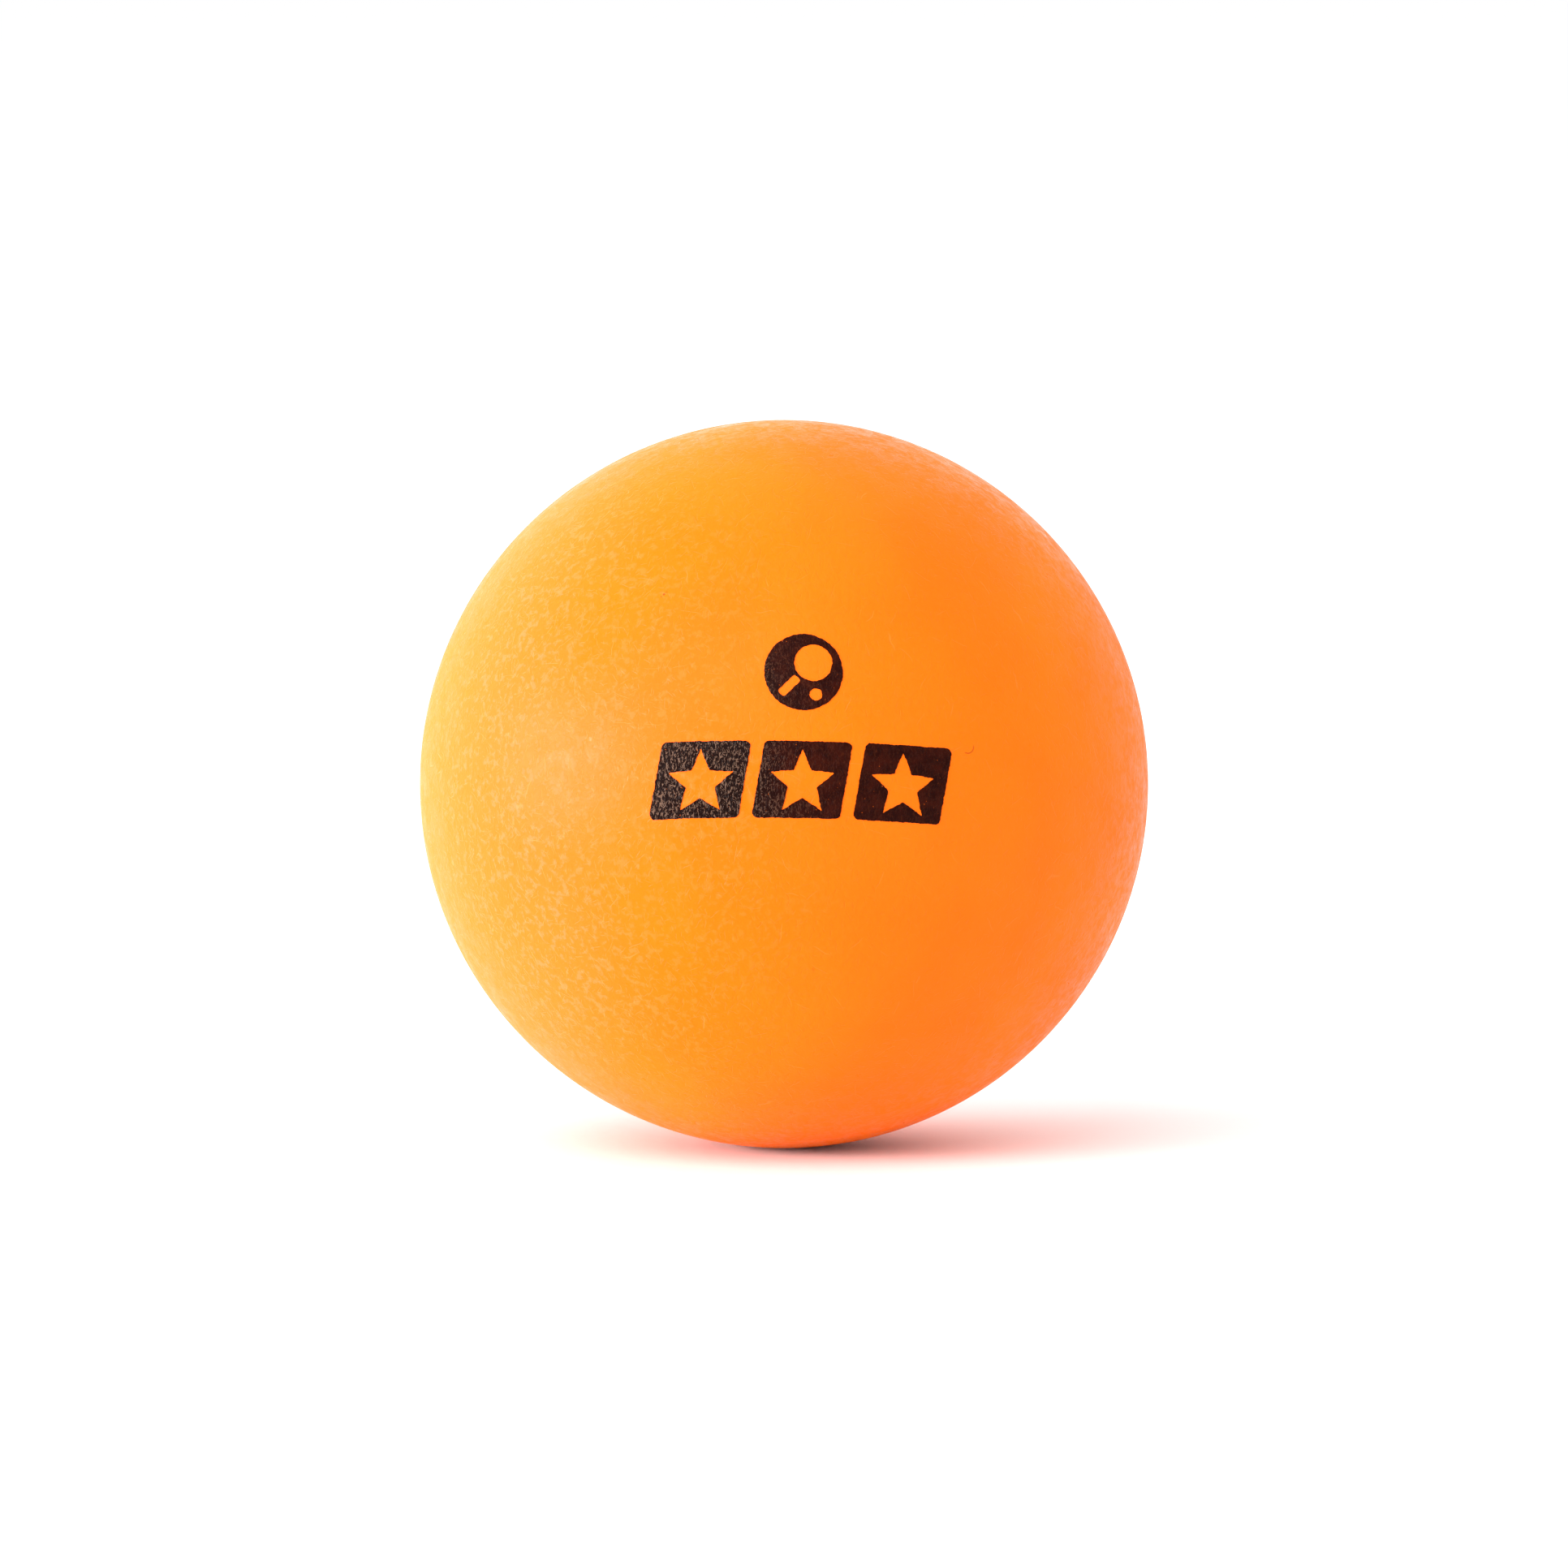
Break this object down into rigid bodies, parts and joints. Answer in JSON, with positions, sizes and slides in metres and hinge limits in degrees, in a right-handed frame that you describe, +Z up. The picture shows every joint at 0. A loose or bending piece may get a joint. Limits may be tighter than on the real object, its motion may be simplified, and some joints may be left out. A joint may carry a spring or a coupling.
{
  "type": "table tennis ball",
  "caption": "Hollow sphere of two cemented half shells with a stepped lap seam, and a printed roundel over a row of slanted star plates.",
  "frame": {"origin": "centre of the ball", "axes": "+Y is the seam's axis: the seam lies in the plane y = 0, the front half shell is on the -Y side and the rear one on the +Y side. -Y is the front, where the print is, centred on the plane x = 0 and 13.6 degrees above -Y. +Z is up, towards the print's top; +X is the print's right, seen from the front."},
  "size_m": [0.04, 0.04, 0.04],
  "materials": {
    "ball_plastic": "satin",
    "cement": "satin",
    "ink": "satin"
  },
  "bodies": {
    "root": {"front_half_shell": "ball_plastic", "rear_half_shell": "ball_plastic", "seam_cement": "cement", "printed_emblem": "ink", "printed_star_left": "ink", "printed_star_centre": "ink", "printed_star_right": "ink"}
  },
  "joints": []
}
